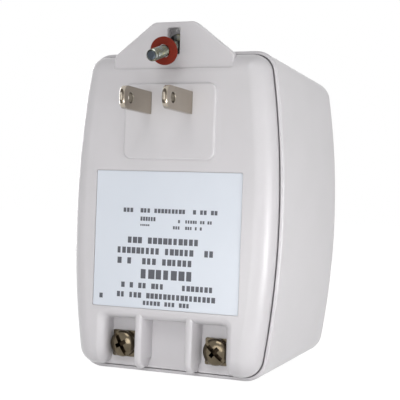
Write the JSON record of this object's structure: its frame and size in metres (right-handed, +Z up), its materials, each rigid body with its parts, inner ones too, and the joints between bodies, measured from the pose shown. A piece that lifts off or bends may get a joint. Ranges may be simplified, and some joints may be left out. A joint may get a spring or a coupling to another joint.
{
  "type": "plug-in power supply",
  "caption": "Plug-in mains transformer in a two-part white moulded case, with flat plug blades, a slotted mounting ear with its screw, and recessed screw terminals.",
  "frame": {"origin": "on the plug face, the raised pad's flat front, midway between the blades", "axes": "-Y out of the wall socket side, along the blades; +Z up towards the mounting ear; +X to the right seen from the plug side"},
  "size_m": [0.0654, 0.086, 0.1014],
  "materials": {
    "white_plastic": "white moulded plastic, satin",
    "nickel": "nickel plated, bright",
    "zinc": "zinc plated",
    "red_fibre": "red vulcanised fibre, matt",
    "label_film": "pale printed film, satin",
    "brass": "plain brass",
    "lamination": "oxide coated electrical steel",
    "rivet_steel": "plain steel",
    "nylon": "natural nylon",
    "copper_wire": "enamelled copper",
    "yellow_tape": "polyester tape",
    "tinned_can": "tinned",
    "fuse_coating": "epoxy dipped",
    "fish_paper": "insulating card",
    "black_wire": "wire insulation",
    "white_wire": "wire insulation",
    "grey_wire": "wire insulation"
  },
  "bodies": {
    "root": {"front_cover": "white_plastic", "rear_housing": "white_plastic", "blade_left": "nickel", "blade_right": "nickel", "mounting_screw": "zinc", "fibre_washer": "red_fibre", "terminal_plate_left": "nickel", "terminal_plate_right": "nickel", "terminal_screw_left": "nickel", "terminal_screw_right": "nickel", "terminal_nut_left": "brass", "terminal_nut_right": "brass", "rating_label": "label_film", "core_e_stack": "lamination", "core_i_stack": "lamination", "core_rivet_1": "rivet_steel", "core_rivet_2": "rivet_steel", "core_rivet_3": "rivet_steel", "core_rivet_4": "rivet_steel", "bobbin": "nylon", "primary_winding": "copper_wire", "secondary_winding": "copper_wire", "primary_tape": "yellow_tape", "secondary_tape": "yellow_tape", "thermal_cutoff": "tinned_can", "resettable_fuse": "fuse_coating", "insulation_card": "fish_paper", "primary_lead_left": "black_wire", "primary_lead_right": "white_wire", "secondary_lead_left": "grey_wire", "secondary_lead_right": "grey_wire", "fuse_link": "grey_wire"}
  },
  "joints": []
}
